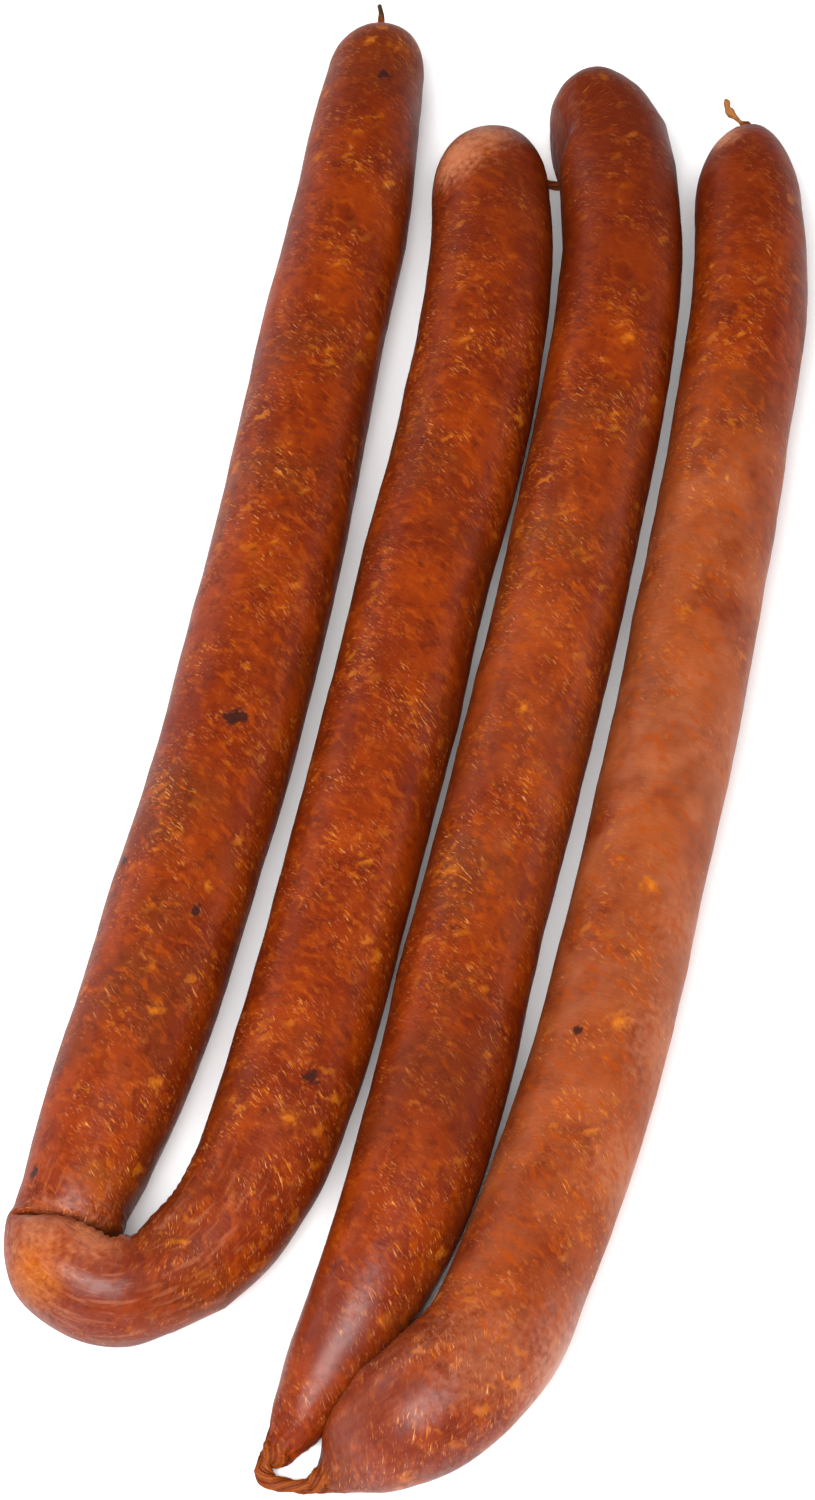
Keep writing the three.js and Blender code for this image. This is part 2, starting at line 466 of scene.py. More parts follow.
def math_node(tree, operation, *values, clamp=False):
    inputs = dict(enumerate(values))
    return add(tree, "ShaderNodeMath", inputs, operation=operation, use_clamp=clamp).outputs[0]


def times(tree, first, second, clamp=False):
    return math_node(tree, "MULTIPLY", first, second, clamp=clamp)


def plus(tree, first, second, clamp=False):
    return math_node(tree, "ADD", first, second, clamp=clamp)


def minus(tree, first, second, clamp=False):
    return math_node(tree, "SUBTRACT", first, second, clamp=clamp)


def share_of(tree, value, whole):
    return math_node(tree, "DIVIDE", value, whole)


def larger(tree, first, second):
    return math_node(tree, "MAXIMUM", first, second)


def vector_math(tree, operation, *values, scale=None):
    inputs = dict(enumerate(values))
    if scale is not None:
        inputs["Scale"] = scale
    made = add(tree, "ShaderNodeVectorMath", inputs, operation=operation)
    return made.outputs["Value" if operation == "DISTANCE" else "Vector"]


def noise(tree, vector, waves, detail=2.0, roughness=0.5):
    """The outputs of a noise texture with so many waves for each metre."""
    inputs = {"Vector": vector, "Scale": waves, "Detail": detail, "Roughness": roughness}
    return add(tree, "ShaderNodeTexNoise", inputs).outputs


def smooth(tree, value, low, high):
    """0 at low, 1 at high, and smooth between them."""
    inputs = {0: value, 1: low, 2: high}
    return add(tree, "ShaderNodeMapRange", inputs, interpolation_type="SMOOTHSTEP").outputs[0]


def attribute(tree, name, data_type="FLOAT"):
    made = add(tree, "GeometryNodeInputNamedAttribute", {"Name": name}, data_type=data_type)
    return made.outputs[0]


def store(tree, geometry, name, value, data_type="FLOAT"):
    made = add(
        tree, "GeometryNodeStoreNamedAttribute", {"Geometry": geometry, "Name": name},
        data_type=data_type, domain="POINT",
    )
    tree.links.new(value, made.inputs["Value"])
    return made.outputs[0]


SKIN_INPUTS = {
    "Sides": ("NodeSocketInt", SKIN_SIDES),
    "Lump Depth": ("NodeSocketFloat", 0.45 * MM),
    "Lump Size": ("NodeSocketFloat", 26 * MM),
    "Dimple Depth": ("NodeSocketFloat", 0.16 * MM),
    "Dimple Size": ("NodeSocketFloat", 7 * MM),
    "Strand Depth": ("NodeSocketFloat", 0.1),
    "Strands": ("NodeSocketFloat", 4.0),
    "Strand Unrest": ("NodeSocketFloat", 3.0),
    "Pleat Depth": ("NodeSocketFloat", 0.06),
    "Pleats": ("NodeSocketFloat", 13.0),
    "Pleat Unrest": ("NodeSocketFloat", 9.0),
    "Squareness": ("NodeSocketFloat", 0.5),
    "Crease Depth": ("NodeSocketFloat", 0.2 * MM),
    "Crease Gap": ("NodeSocketFloat", 2.6 * MM),
    "Crease Unrest": ("NodeSocketFloat", 11.0),
    "Material": ("NodeSocketMaterial", None),
}


def swept(tree, given):
    """The path swept into a tube: its points know their section's centre and their angle."""
    position = add(tree, "GeometryNodeInputPosition").outputs[0]
    path = store(tree, given["Path"], "centre", position, "FLOAT_VECTOR")
    path = add(tree, "GeometryNodeMeshToCurve", {"Mesh": path}).outputs[0]
    circle = add(
        tree, "GeometryNodeCurvePrimitiveCircle", {"Resolution": given["Sides"], "Radius": 1.0}
    ).outputs[0]
    corner = plus(tree, add(tree, "GeometryNodeInputIndex").outputs[0], 0.5)
    turn = times(tree, share_of(tree, corner, given["Sides"]), 2 * math.pi)
    circle = store(tree, circle, "around", turn)
    inputs = {"Curve": path, "Profile Curve": circle, "Fill Caps": True}
    return add(tree, "GeometryNodeCurveToMesh", inputs).outputs[0]


def gathered_folds(tree, given, around, gather, wander):
    """Strands and pleats where the casing is drawn together, as a share of the section's size."""
    spun = plus(tree, around, attribute(tree, "spin"))

    def folds(count, depth, unrest):
        phase = plus(tree, times(tree, spun, count), times(tree, wander, unrest))
        return times(tree, math_node(tree, "SINE", phase), depth)

    strands = folds(given["Strands"], given["Strand Depth"], given["Strand Unrest"])
    pleats = folds(given["Pleats"], given["Pleat Depth"], given["Pleat Unrest"])
    tight = times(tree, strands, times(tree, gather, gather))
    return plus(tree, tight, times(tree, pleats, gather))


def filled_out(tree, given, sideways, upward):
    """The circle with one half made a superellipse: the left half where square is above 0."""
    square = attribute(tree, "square")
    pressed = times(tree, math_node(tree, "ABSOLUTE", square), given["Squareness"])
    inner = math_node(tree, "GREATER_THAN", times(tree, sideways, square), 0.0)
    power = minus(tree, 1.0, times(tree, pressed, inner))

    def shaped(value):
        size = math_node(tree, "POWER", math_node(tree, "ABSOLUTE", value), power)
        return times(tree, size, math_node(tree, "SIGN", value))

    return shaped(sideways), shaped(upward)


def surface_relief(tree, given, sideways, gather, wander):
    """Lumps and dimples of the full casing, and creases across the inside of a bend."""

    def unevenness(size, depth, detail):
        here = attribute(tree, "straight", "FLOAT_VECTOR")
        field = noise(tree, here, share_of(tree, 1.0, size), detail)[0]
        return times(tree, minus(tree, field, 0.5), times(tree, depth, 2.0))

    full = minus(tree, 1.0, gather, clamp=True)
    lumps = unevenness(given["Lump Size"], given["Lump Depth"], 1.0)
    dimples = unevenness(given["Dimple Size"], given["Dimple Depth"], 2.0)
    relief = times(tree, plus(tree, lumps, dimples), full)

    inside = plus(tree, times(tree, sideways, 0.95), 0.05, clamp=True)
    waves = share_of(tree, attribute(tree, "along"), given["Crease Gap"])
    phase = times(tree, waves, 2 * math.pi)
    phase = plus(tree, phase, times(tree, wander, given["Crease Unrest"]))
    ridge = math_node(tree, "SINE", phase)
    ridge = times(tree, ridge, times(tree, attribute(tree, "crease"), inside))
    ridge = times(tree, ridge, given["Crease Depth"])
    return plus(tree, relief, times(tree, ridge, full))


def skin_tree():
    """Sweeps a path's sections into a closed skin with the casing's relief."""
    tree = bpy.data.node_groups.new("casing_skin", "GeometryNodeTree")
    tree.interface.new_socket("Path", in_out="INPUT", socket_type="NodeSocketGeometry")
    tree.interface.new_socket("Skin", in_out="OUTPUT", socket_type="NodeSocketGeometry")
    for name, (kind, value) in SKIN_INPUTS.items():
        socket = tree.interface.new_socket(name, in_out="INPUT", socket_type=kind)
        if value is not None:
            socket.default_value = value
    given = add(tree, "NodeGroupInput").outputs
    skin = swept(tree, given)

    position = add(tree, "GeometryNodeInputPosition").outputs[0]
    wander = noise(tree, position, FOLD_WANDER)[0]
    around = attribute(tree, "around")
    sideways = math_node(tree, "COSINE", around)
    upward = math_node(tree, "SINE", around)
    height = attribute(tree, "half_height")
    gather = attribute(tree, "gather")
    fold = gathered_folds(tree, given, around, gather, wander)
    swell = plus(tree, fold, 1.0)

    out, high = filled_out(tree, given, sideways, upward)
    across = attribute(tree, "across", "FLOAT_VECTOR")
    offset = vector_math(tree, "SCALE", across, scale=times(tree, out, swell))
    lifted = times(tree, times(tree, height, high), swell)
    up = add(tree, "ShaderNodeCombineXYZ", {"Z": lifted}).outputs[0]
    place = vector_math(tree, "ADD", attribute(tree, "centre", "FLOAT_VECTOR"), offset)
    place = vector_math(tree, "ADD", place, up)
    skin = add(tree, "GeometryNodeSetPosition", {"Geometry": skin, "Position": place}).outputs[0]

    # The place on the same casing laid out straight, for patterns that follow the links.
    straight = add(
        tree, "ShaderNodeCombineXYZ",
        {
            "X": times(tree, sideways, height),
            "Y": attribute(tree, "along"),
            "Z": times(tree, upward, height),
        },
    ).outputs[0]
    skin = store(tree, skin, "straight", straight, "FLOAT_VECTOR")
    skin = store(tree, skin, "fold", share_of(tree, fold, given["Strand Depth"]))

    normal = add(tree, "GeometryNodeInputNormal").outputs[0]
    relief = surface_relief(tree, given, sideways, gather, wander)
    shift = vector_math(tree, "SCALE", normal, scale=relief)
    skin = add(tree, "GeometryNodeSetPosition", {"Geometry": skin, "Offset": shift}).outputs[0]

    # Nothing reaches below the table.
    x, y, z = add(tree, "ShaderNodeSeparateXYZ", {0: position}).outputs
    above = {"X": x, "Y": y, "Z": larger(tree, z, 0.0)}
    place = add(tree, "ShaderNodeCombineXYZ", above).outputs[0]
    skin = add(tree, "GeometryNodeSetPosition", {"Geometry": skin, "Position": place}).outputs[0]
    skin = add(tree, "GeometryNodeSetShadeSmooth", {"Geometry": skin}).outputs[0]
    skin = add(tree, "GeometryNodeRealizeInstances", {"Geometry": skin}).outputs[0]
    dressed = {"Geometry": skin, "Material": given["Material"]}
    skin = add(tree, "GeometryNodeSetMaterial", dressed).outputs[0]
    add(tree, "NodeGroupOutput", {0: skin})
    return tree


def signed_volume(mesh):
    """Volume enclosed, positive where the faces point outwards."""
    mesh.calc_loop_triangles()
    corners = np.zeros(len(mesh.vertices) * 3, np.float32)
    mesh.vertices.foreach_get("co", corners)
    corners = corners.reshape(-1, 3)
    triangles = np.zeros(len(mesh.loop_triangles) * 3, np.int32)
    mesh.loop_triangles.foreach_get("vertices", triangles)
    a, b, c = (corners[triangles[i::3]] for i in range(3))
    return float(np.einsum("ij,ij->i", a, np.cross(b, c)).sum() / 6)


def skin_piece(name, sections, tree, material, **inputs):
    """A finished piece of the string: the path's skin as a plain mesh, declared to the frame."""
    path = path_object(name + "_path", sections)
    sweep = path.modifiers.new("skin", "NODES")
    sweep.node_group = tree
    chosen = {label: value for label, (_, value) in SKIN_INPUTS.items()}
    chosen |= {"Material": material} | inputs
    for socket in tree.interface.items_tree:
        if socket.in_out == "INPUT" and socket.name in chosen:
            sweep[socket.identifier] = chosen[socket.name]
    evaluated = path.evaluated_get(bpy.context.evaluated_depsgraph_get())
    mesh = bpy.data.meshes.new_from_object(evaluated)
    bpy.data.objects.remove(path)
    mesh.name = name
    if signed_volume(mesh) < 0:
        mesh.flip_normals()
    piece = bpy.data.objects.new(name, mesh)
    bpy.context.collection.objects.link(piece)
    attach(piece, "root")
    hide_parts(NODE)
    return piece


def mixed(tree, factor, first, second):
    """Two colours mixed."""
    inputs = {0: factor, 6: first, 7: second}
    return add(tree, "ShaderNodeMix", inputs, data_type="RGBA").outputs[2]


def linear(red, green, blue):
    """A colour given as it looks on a screen, 0 to 255, as the renderer's linear values."""
    shares = [value / 255 for value in (red, green, blue)]
    return (*(s / 12.92 if s <= 0.04045 else ((s + 0.055) / 1.055) ** 2.4 for s in shares), 1.0)


def mask_group(name, **numbers):
    """A shader node group that reads a vector and named numbers or places and puts out a mask."""
    group = bpy.data.node_groups.new(name, "ShaderNodeTree")
    group.interface.new_socket("Vector", in_out="INPUT", socket_type="NodeSocketVector")
    for label, value in numbers.items():
        kind = "NodeSocketVector" if isinstance(value, tuple) else "NodeSocketFloat"
        group.interface.new_socket(label, in_out="INPUT", socket_type=kind).default_value = value
    group.interface.new_socket("Mask", in_out="OUTPUT", socket_type="NodeSocketFloat")
    given = group.nodes.new("NodeGroupInput").outputs
    return group, given, group.nodes.new("NodeGroupOutput").inputs["Mask"]


def grouped(tree, group, **inputs):
    """The mask that a group puts out."""
    return add(tree, "ShaderNodeGroup", inputs, node_tree=group).outputs[0]


def fleck_group():
    """Bits of fat under the casing: a mask of stretched, frayed flakes."""
    group, given, mask = mask_group("fat_flecks", Gap=6 * MM, Amount=0.5, Size=0.4, Slant=0.5)
    frayed = noise(group, given["Vector"], FLAKE_FRAY, 3.0, 0.6)["Color"]
    frayed = vector_math(group, "SUBTRACT", frayed, (0.5, 0.5, 0.5))
    frayed = vector_math(group, "SCALE", frayed, scale=FRAY_REACH)
    here = vector_math(group, "ADD", given["Vector"], frayed)
    turned = add(
        group, "ShaderNodeVectorRotate",
        {"Vector": here, "Axis": (0.4, 0.3, 1.0), "Angle": given["Slant"]},
        rotation_type="AXIS_ANGLE",
    ).outputs[0]
    stretched = vector_math(group, "MULTIPLY", turned, FLAKE_SQUEEZE)
    cells = add(
        group, "ShaderNodeTexVoronoi",
        {"Vector": stretched, "Scale": share_of(group, 1.0, given["Gap"]), "Randomness": 1.0},
    ).outputs
    drawn_lot, drawn_size, _ = add(group, "ShaderNodeSeparateColor", {0: cells["Color"]}).outputs
    chosen = smooth(group, drawn_lot, minus(group, 1.0, given["Amount"]), 1.0)
    reach = times(group, given["Size"], plus(group, drawn_size, 0.35))
    edge = smooth(group, minus(group, reach, cells["Distance"]), 0.0, FLAKE_SOFTNESS)
    group.links.new(times(group, edge, chosen), mask)
    return group


def smear_group():
    """Smears under the casing, drawn out across the link and leaning: a mask with soft ends."""
    group, given, mask = mask_group(
        "leaning_smears",
        Lean=0.45, Width=0.6 * MM, Length=3 * MM, Least=0.62, Softness=0.08, Unrest=1 * MM,
    )
    sway = minus(group, noise(group, given["Vector"], SMEAR_SWAY)[0], 0.5)
    x, y, z = add(group, "ShaderNodeSeparateXYZ", {0: given["Vector"]}).outputs
    along = minus(group, y, times(group, x, given["Lean"]))
    along = plus(group, along, times(group, sway, given["Unrest"]))
    drawn = add(
        group, "ShaderNodeCombineXYZ",
        {
            "X": share_of(group, x, given["Length"]),
            "Y": share_of(group, along, given["Width"]),
            "Z": share_of(group, z, given["Length"]),
        },
    ).outputs[0]
    field = noise(group, drawn, 1.0, 2.0, 0.55)[0]
    most = plus(group, given["Least"], given["Softness"])
    group.links.new(smooth(group, field, given["Least"], most), mask)
    return group


def patch_group():
    """A patch round a place in the row frame: 1 at its middle, 0 past its uneven edge."""
    group, given, mask = mask_group(
        "patch", Place=(0.0, 0.0, 0.0), Reach=2 * MM, Core=0.3, Fray=1.0
    )
    fray = minus(group, noise(group, given["Vector"], PATCH_FRAY)[0], 0.5)
    away = vector_math(group, "DISTANCE", given["Vector"], given["Place"])
    share = share_of(group, away, given["Reach"])
    share = plus(group, share, times(group, fray, given["Fray"]))
    group.links.new(smooth(group, share, 1.0, given["Core"]), mask)
    return group


CASING = linear(103, 30, 2)
CASING_ORANGE = linear(125, 43, 2)
CASING_DULL = linear(98, 37, 8)
# Dark also paints the shade in the hollows of gathered pleats.
CASING_DARK = linear(74, 17, 3)
# Maroon also paints the shade at the links' far ends.
CASING_MAROON = linear(84, 23, 4)
# Tawny and pale also paint haze and sheen on the fourth link.
CASING_TAWNY = linear(149, 80, 42)
CASING_PALE_AND_SHEEN = linear(176, 107, 73)
FAT_GOLD = linear(190, 106, 18)
FAT_DEEP = linear(141, 56, 2)
FAT_PALE = linear(214, 150, 84)
CASING_DRY = linear(118, 56, 18)
CASING_TAN = linear(146, 94, 50)
CASING_SINGED = linear(60, 44, 26)
SPICE = linear(50, 20, 16)

# Noise on the casing, in waves for each metre.
FAT_REGIONS = 28.0
DULL_CLOUDS = 44.0
PALE_CLOUDS = 60.0
MEAT_CLOUDS = 70.0
FAT_CLUSTERS = 80.0
GLOSS_CLOUDS = 160.0
SMEAR_SWAY = 210.0
MEAT_GRAIN = 300.0
FLAKE_FRAY = 420.0
PATCH_FRAY = 700.0
CRINKLES = 900.0
PORES = 1500.0

# How strongly each layer colours what is under it.
GRAIN_STRENGTH = 0.6
TAWNY_GAIN = 1.7
BLOT_STRENGTH = 0.7
SMEAR_STRENGTH = 0.66
LINE_STRENGTH = 0.38
BIT_STRENGTH = 0.8
SPECK_STRENGTH = 0.95
DRY_STRENGTH = 0.75
VALLEY_SHADE_STRENGTH = 0.6
RIDGE_STRENGTH = 0.2

# How much the fat fades on dark and on light stretches, and the smears' share between clusters.
FAINT_IN_DARK = 0.74
FAINT_IN_LIGHT = 0.6
SMEARS_APART = 0.15

BLOTS = dict(Width=2 * MM, Length=3.4 * MM, Least=0.5, Softness=0.22, Unrest=3 * MM)
BEND_LINES = dict(
    Lean=0.0, Width=6 * MM, Length=1.1 * MM, Least=0.5, Softness=0.25, Unrest=7 * MM
)
# Flakes of fat: gap, slant, strength.
FLAKES = [
    (5 * MM, 0.7, 0.62),
    (2.8 * MM, -0.4, 0.42),
]
FLAKE_SQUEEZE = (1.0, 2.1, 1.3)
FLAKE_SOFTNESS = 0.42
FRAY_REACH = 3.4 * MM
# Smears of fat: lean, least noise that shows, colour, size.
SMEAR_WIDTH, SMEAR_LENGTH = 0.6 * MM, 2.2 * MM
SMEARS = [
    (0.5, 0.61, FAT_GOLD, 1),
    (0.9, 0.64, FAT_PALE, 1),
    (0.7, 0.6, CASING_PALE_AND_SHEEN, 0.55),
]

# Bump of the casing: crinkles that run round the link, and pores.
CRINKLE_SQUEEZE = (0.3, 1.6, 0.3)
CRINKLE_SHARE, PORE_SHARE = 0.7, 0.3
BUMP_DEPTH = 0.2 * MM

# The gloss: coat on moist and on dry casing, and the settings that are the same all over.
MOIST_COAT, DRY_COAT = 0.5, 0.02
CASING_FINISH = {
    "Specular IOR Level": 0.08,
    "Coat Roughness": 0.4,
    "Subsurface Weight": 0.06,
    "Subsurface Radius": (1.0, 0.35, 0.15),
    "Subsurface Scale": 1.5 * MM,
}

# Dark specks of spice under the casing: where they lie in the row frame, and their reach.
SPECK_EDGE = dict(core=0.45, fray=2.0)
SPECKS = [
    ((-11.3, 146.2, 22.5), 1.9),
    ((-41.8, -24.4, 27), 2.1),
    ((-39.7, -23.6, 27), 2.1),
    ((-47.3, -66.7, 26), 1.7),
    ((-61.7, -53, 21), 1.6),
    ((-76.1, -118.3, 19.4), 1.6),
    ((-24.5, -101.2, 24.6), 1.9),
    ((26.1, -91.7, 24.8), 1.2),
    ((2, 128.5, 16), 1.3),
]
# Larger bits of golden fat, in the same way.
BIT_EDGE = dict(core=-0.5, fray=1.9)
FAT_BITS = [
    ((41.1, 70.4, 26), 2.4),
    ((16.8, -21.1, 26), 2.2),
    ((-0.7, -143.6, 19.7), 2.1),
    ((-44.8, -61.2, 25.4), 1.8),
    ((-54.1, -88, 25.9), 1.9),
    ((-12, -74, 21.2), 2),
    ((40.8, -60.5, 25.1), 2.8),
    ((33.7, -90, 25.2), 2.9),
    ((-28.7, -109.6, 24.7), 2.4),
    ((50, 2, 26), 2.4),
]
# Pale patches: place, reach, strength. Those on the fourth link's near end and down its right flank
# are painted sheen and haze; the others lighten the second link's far end, the fold's lobe and the
# fourth link's far shoulder.
PALE_AND_SHEEN_PATCHES = [
    ((5, 123, 21.5), 11.5, 0.95),
    ((11, 126.5, 21.5), 9, 0.8),
    ((-74, -131, 21), 9, 0.5),
    ((-64, -131, 25), 9, 0.5),
    # Painted sheen on the fourth link's near end, then painted haze down its right flank.
    ((19, -156, 13), 16, 0.6),
    ((8, -156, 24), 15, 0.3),
    ((33, -118, 14), 16, 0.55),
    ((42, -93, 14), 17, 0.55),
    ((48, -66, 14), 16, 0.45),
    ((57, -31, 14), 17, 0.35),
    ((64, 131.5, 19), 6, 0.9),
]
# Patches where fat shines through and turns the casing golden, in the same way.
GOLDEN_PATCHES = [
    ((-75, -139, 20), 10, 0.38),
    ((-64, -121, 23), 7, 0.15),
]
# The first link's singed tail and the fourth link's tan knot: place, reach, even core.
SINGED_TAIL = ((-12.6, 176.6, 11.6), 5, 0.6)
TAN_KNOT = ((66.4, 143.6, 14), 5.5, 0.5)
# Where the casing is drawn tight and moist, and has more gloss: place, reach.
MOIST_PATCHES = [
    ((-8, -164, 18), 24),
    ((-21, -150, 14), 24),
    ((20, -152, 14), 20),
    ((-64, -136, 22), 20),
]


class Paint:
    """The casing's shader tree, what the skin carries for it, and ways to lay colour on."""

    def __init__(self, tree, flecks, smears, patches):
        self.tree = tree
        self.flecks, self.smears, self.patches = flecks, smears, patches
        self.straight = self.carried("straight", "Vector")
        self.dry = self.carried("dry")
        self.tone = self.carried("tone")
        self.bent = self.carried("crease")
        self.fold = self.carried("fold")
        self.here = add(tree, "ShaderNodeTexCoord").outputs["Object"]

    def carried(self, name, output="Fac"):
        return add(self.tree, "ShaderNodeAttribute", attribute_name=name).outputs[output]

    def clouds(self, waves, low, high, detail=2.0, roughness=0.5):
        field = noise(self.tree, self.straight, waves, detail, roughness)[0]
        return smooth(self.tree, field, low, high)

    def drawn_out(self, **sizes):
        return grouped(self.tree, self.smears, Vector=self.straight, **sizes)

    def patch(self, place, reach, core=0.1, fray=1.0):
        sizes = dict(Place=tuple(value * MM for value in place), Reach=reach * MM)
        return grouped(
            self.tree, self.patches, Vector=self.here, Core=core, Fray=fray, **sizes
        )

    def cover(self, colour, mask, strength, tint):
        return mixed(self.tree, times(self.tree, mask, strength), colour, tint)


def meat_colour(paint):
    """Orange and dull clouds, a fine dark mottle, and the darker stretches, which at the links' far
    ends are painted shade.
    """
    tree, clouds = paint.tree, paint.clouds
    colour = mixed(tree, clouds(MEAT_CLOUDS, 0.4, 0.64, 3.0, 0.6), CASING, CASING_ORANGE)
    colour = mixed(tree, clouds(DULL_CLOUDS, 0.5, 0.74), colour, CASING_DULL)
    mottle = clouds(MEAT_GRAIN, 0.48, 0.7, 4.0, 0.7)
    colour = paint.cover(colour, mottle, GRAIN_STRENGTH, CASING_DARK)
    # Maroon where the tone is below 0: the darker stretches, with painted shade at the far ends.
    return mixed(tree, smooth(tree, paint.tone, 0.0, -1.0), colour, CASING_MAROON)


def with_pale_and_sheen_patches(paint, colour):
    """Tawny, pale and golden stretches over a colour, and the mask of the pale ones. On the fourth
    link the tawny and pale are partly painted haze and sheen.
    """
    tree, tone = paint.tree, paint.tone
    tawny = times(tree, tone, paint.clouds(MEAT_CLOUDS, 0.22, 0.62, 3.0, 0.65))
    tawny = times(tree, tawny, TAWNY_GAIN, clamp=True)
    colour = mixed(tree, tawny, colour, CASING_TAWNY)
    pale = times(tree, tone, paint.clouds(PALE_CLOUDS, 0.4, 0.7, 3.0, 0.6), clamp=True)
    for place, reach, strength in PALE_AND_SHEEN_PATCHES:
        pale = larger(tree, pale, times(tree, paint.patch(place, reach), strength))
    colour = mixed(tree, pale, colour, CASING_PALE_AND_SHEEN)
    for place, reach, strength in GOLDEN_PATCHES:
        colour = paint.cover(colour, paint.patch(place, reach), strength, FAT_GOLD)
    return colour, pale


def with_fat(paint, colour, pale):
    """Fat over a colour: soft blots, frayed flakes and fine smears that lean across the link."""
    tree, cover = paint.tree, paint.cover
    # Less of it shows where the casing is painted darker or paler, in part as shade and sheen, or
    # where it is dry.
    faint = times(tree, smooth(tree, paint.tone, 0.05, -0.5), FAINT_IN_DARK)
    veiled = times(tree, smooth(tree, paint.tone, 0.1, 0.3), FAINT_IN_LIGHT)
    plain = larger(tree, larger(tree, larger(tree, faint, pale), paint.dry), veiled)
    shown = minus(tree, 1.0, times(tree, plain, plain), clamp=True)

    fewer = math_node(tree, "MULTIPLY_ADD", faint, -0.6, BLOT_STRENGTH)
    colour = cover(colour, paint.drawn_out(**BLOTS), fewer, FAT_DEEP)
    clusters = paint.clouds(FAT_CLUSTERS, 0.38, 0.6)
    clustered = times(tree, clusters, paint.clouds(FAT_REGIONS, 0.24, 0.52))
    for gap, slant, strength in FLAKES:
        sizes = dict(Gap=gap, Amount=0.6, Size=0.46, Slant=slant)
        flakes = grouped(tree, paint.flecks, Vector=paint.straight, **sizes)
        flakes = times(tree, times(tree, flakes, clustered), strength)
        colour = cover(colour, flakes, shown, FAT_GOLD)
    for lean, least, tint, size in SMEARS:
        drawn = paint.drawn_out(
            Lean=lean, Width=SMEAR_WIDTH * size, Length=SMEAR_LENGTH * size, Least=least,
            Softness=0.14, Unrest=1.6 * MM,
        )
        drawn = times(tree, drawn, plus(tree, clustered, SMEARS_APART, clamp=True))
        colour = cover(colour, times(tree, drawn, shown), SMEAR_STRENGTH, tint)

    # Fine pale lines along the casing where it is bent.
    bent = times(tree, paint.bent, LINE_STRENGTH)
    colour = cover(colour, paint.drawn_out(**BEND_LINES), bent, CASING_PALE_AND_SHEEN)

    for place, reach in FAT_BITS:
        colour = cover(colour, paint.patch(place, reach, **BIT_EDGE), BIT_STRENGTH, FAT_GOLD)
    for place, reach in SPECKS:
        colour = cover(colour, paint.patch(place, reach, **SPECK_EDGE), SPECK_STRENGTH, SPICE)
    return colour


def with_dry_ends(paint, colour):
    """Gathered casing over a colour: drier and more golden, with painted shade in the hollows of
    its pleats, and golden on their ridges.
    """
    tree = paint.tree
    colour = paint.cover(colour, paint.dry, DRY_STRENGTH, CASING_DRY)
    # Painted shade in the hollows between the strands and pleats.
    valleys = smooth(tree, paint.fold, -0.1, -1.2)
    colour = paint.cover(colour, valleys, VALLEY_SHADE_STRENGTH, CASING_DARK)
    ridges = smooth(tree, paint.fold, 0.35, 1.3)
    colour = paint.cover(colour, ridges, RIDGE_STRENGTH, FAT_GOLD)
    colour = mixed(tree, paint.patch(*SINGED_TAIL), colour, CASING_SINGED)
    return mixed(tree, paint.patch(*TAN_KNOT), colour, CASING_TAN)


def casing_relief(paint):
    """The normal of fine crinkles that run round the link, with pores over them."""
    tree = paint.tree
    crinkled = vector_math(tree, "MULTIPLY", paint.straight, CRINKLE_SQUEEZE)
    crinkles = times(tree, noise(tree, crinkled, CRINKLES, 3.0, 0.6)[0], CRINKLE_SHARE)
    pores = times(tree, noise(tree, paint.straight, PORES)[0], PORE_SHARE)
    inputs = {"Strength": 0.85, "Distance": BUMP_DEPTH, "Height": plus(tree, crinkles, pores)}
    return add(tree, "ShaderNodeBump", inputs).outputs[0]


def casing_material(flecks, smears, patches):
    """Smoked casing: brown and orange meat, flecks of fat, fine crinkles and a soft gloss."""
    material = bpy.data.materials.new("smoked_casing")
    material.use_nodes = True
    tree = material.node_tree
    shader = tree.nodes["Principled BSDF"].inputs
    paint = Paint(tree, flecks, smears, patches)

    colour, pale = with_pale_and_sheen_patches(paint, meat_colour(paint))
    colour = with_dry_ends(paint, with_fat(paint, colour, pale))
    tree.links.new(colour, shader["Base Color"])

    gloss = noise(tree, paint.straight, GLOSS_CLOUDS, 3.0)[0]
    rough = add(tree, "ShaderNodeMapRange", {0: gloss, 1: 0.3, 2: 0.7, 3: 0.4, 4: 0.56})
    tree.links.new(rough.outputs[0], shader["Roughness"])
    tree.links.new(casing_relief(paint), shader["Normal"])

    moist = 0.0
    for place, reach in MOIST_PATCHES:
        moist = larger(tree, paint.patch(place, reach), moist)
    coat = math_node(tree, "MULTIPLY_ADD", moist, MOIST_COAT, DRY_COAT)
    tree.links.new(coat, shader["Coat Weight"])
    for name, value in CASING_FINISH.items():
        shader[name].default_value = value
    return material


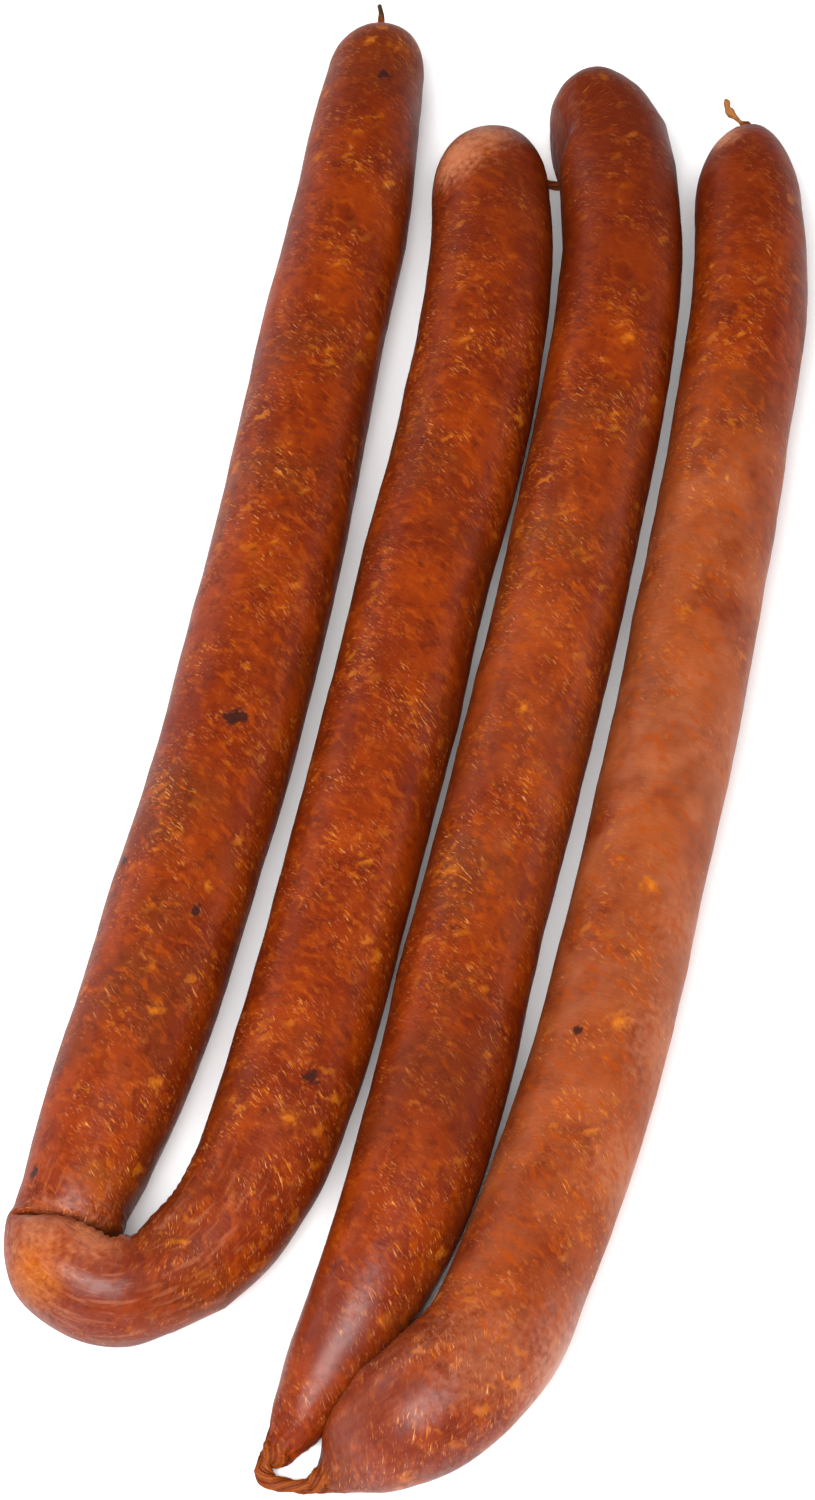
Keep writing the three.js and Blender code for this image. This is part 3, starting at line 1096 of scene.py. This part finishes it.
def build_string():
    tree = skin_tree()
    casing = casing_material(fleck_group(), smear_group(), patch_group())
    first, second = body(FIRST_LINK), body(SECOND_LINK)
    third, fourth = body(THIRD_LINK), body(FOURTH_LINK)
    skin_piece(
        "first_pair_of_links",
        [
            *run(FIRST_TAIL, TAIL_SECTIONS),
            *dome(first[0], **FIRST_FAR_END, starts=True),
            *first,
            *between(FOLD_LEFT, FOLD_RIGHT, FOLD_HALF_HEIGHT, FOLD_SECTIONS, FOLD_LIFT),
            *second,
            *dome(second[-1], **SECOND_FAR_END),
        ],
        tree, casing,
    )
    skin_piece("far_twist", run(FAR_TWIST, TWIST_SECTIONS), tree, casing, Sides=TWIST_SIDES)
    skin_piece(
        "second_pair_of_links",
        [
            *between(
                TURNED_END_LEFT, TURNED_END_RIGHT, TURNED_END_HALF_HEIGHT, TURNED_END_SECTIONS
            ),
            *third,
            *dome(third[-1], **THIRD_NEAR_END),
            *run(NEAR_TWIST, TWIST_SECTIONS),
            *dome(fourth[0], **FOURTH_NEAR_END, starts=True),
            *fourth,
            *dome(fourth[-1], **FOURTH_FAR_END),
            *run(LAST_TAIL, TAIL_SECTIONS),
        ],
        tree, casing,
    )


def build_table():
    half = TABLE_SIZE / 2
    mesh = bpy.data.meshes.new("table_top")
    corners = [(-half, -half, 0), (half, -half, 0), (half, half, 0), (-half, half, 0)]
    mesh.from_pydata(corners, [], [(0, 1, 2, 3)])
    table = bpy.data.objects.new("table_top", mesh)
    bpy.context.collection.objects.link(table)
    paint = bpy.data.materials.new("pale_table")
    paint.use_nodes = True
    shader = paint.node_tree.nodes["Principled BSDF"]
    shader.inputs["Base Color"].default_value = TABLE_WHITE
    shader.inputs["Roughness"].default_value = TABLE_ROUGHNESS
    mesh.materials.append(paint)


def soft_box(name, place, target, width, height, power):
    """A white rectangular light at a place, aimed at a target, in metres and watts."""
    lamp = bpy.data.lights.new(name, "AREA")
    lamp.shape = "RECTANGLE"
    lamp.size, lamp.size_y = width, height
    lamp.energy = power
    made = bpy.data.objects.new(name, lamp)
    bpy.context.collection.objects.link(made)
    made.location = place
    aim = np.array(target) - np.array(place)
    made.rotation_euler = Vector(aim).to_track_quat("-Z", "Y").to_euler()


def build_lights():
    world = bpy.data.worlds.new("studio")
    bpy.context.scene.world = world
    world.use_nodes = True
    sky = world.node_tree.nodes["Background"]
    sky.inputs["Color"].default_value = (1, 1, 1, 1)
    sky.inputs["Strength"].default_value = SKY_STRENGTH
    bpy.context.scene.view_settings.view_transform = "Standard"
    for light in SOFT_BOXES:
        soft_box(*light)


def build_camera():
    lens = bpy.data.cameras.new("camera")
    lens.sensor_width = SENSOR_WIDTH
    lens.lens = FOCAL_LENGTH
    camera = bpy.data.objects.new("camera", lens)
    bpy.context.collection.objects.link(camera)
    tilt = math.radians(CAMERA_ELEVATION)
    towards = np.array([0, -math.cos(tilt), math.sin(tilt)])
    camera.location = np.array(CAMERA_TARGET) * MM + CAMERA_DISTANCE * towards
    camera.rotation_euler = (math.pi / 2 - tilt, 0, 0)
    bpy.context.scene.camera = camera


build_camera()
build_lights()
build_table()
build_string()
